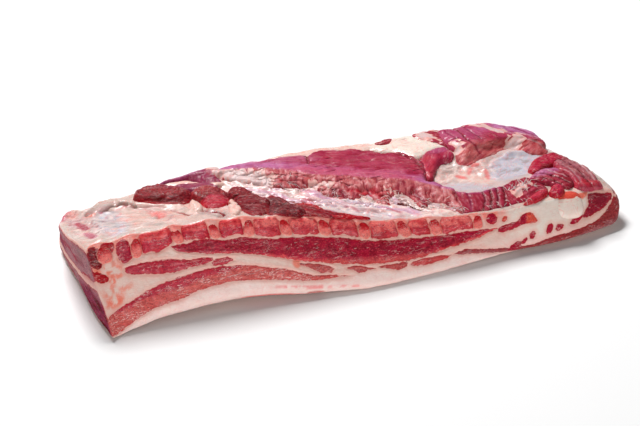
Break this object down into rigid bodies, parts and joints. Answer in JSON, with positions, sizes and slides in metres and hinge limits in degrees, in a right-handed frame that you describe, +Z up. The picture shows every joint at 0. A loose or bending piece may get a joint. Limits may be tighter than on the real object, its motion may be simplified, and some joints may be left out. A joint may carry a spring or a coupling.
{
  "type": "pork belly slab",
  "caption": "Raw bone-in pork belly slab, thick at the rib end and thin at the flank end, with a sawn face of cut ribs over banded lean and fat.",
  "frame": {"origin": "middle of the box around the slab, on the plane that it lies on", "axes": "+X along the slab from the thick rib end to the thin end, -Y out of the long sawn face, +Z up"},
  "size_m": [0.5332, 0.191, 0.0765],
  "materials": {
    "fat": "moist, firm, slightly waxy",
    "lean": "moist cut muscle with fine fat streaks",
    "dark_lean": "wet dark muscle with a thin skin",
    "purple_lean": "muscle under a shiny bluish skin",
    "membrane": "thin glossy lining over fat",
    "bone": "sawn rib, pale shell round dark marrow",
    "cartilage": "smooth pale cartilage"
  },
  "bodies": {
    "root": {"rind_fat": "fat", "outer_lean": "lean", "seam_fat_low": "fat", "mid_lean": "lean", "seam_fat_high": "fat", "inner_lean": "lean", "rib_band": "lean", "lining": "membrane", "rib_01": "bone", "rib_02": "bone", "rib_03": "bone", "rib_04": "bone", "rib_05": "bone", "rib_06": "bone", "rib_07": "bone", "rib_08": "bone", "rib_09": "bone", "rib_10": "bone", "rib_11": "bone", "membrane_fold": "membrane", "skirt_1": "dark_lean", "skirt_2": "dark_lean", "skirt_3": "dark_lean", "skirt_4": "dark_lean", "skirt_5": "dark_lean", "tail_muscle": "purple_lean", "flank_sheet": "purple_lean", "flank_band": "dark_lean", "curled_muscle": "purple_lean", "shoulder_muscle": "purple_lean", "end_red": "dark_lean", "end_purple": "purple_lean", "end_brown": "purple_lean", "cartilage_knob": "cartilage", "red_nub": "dark_lean"}
  },
  "joints": []
}
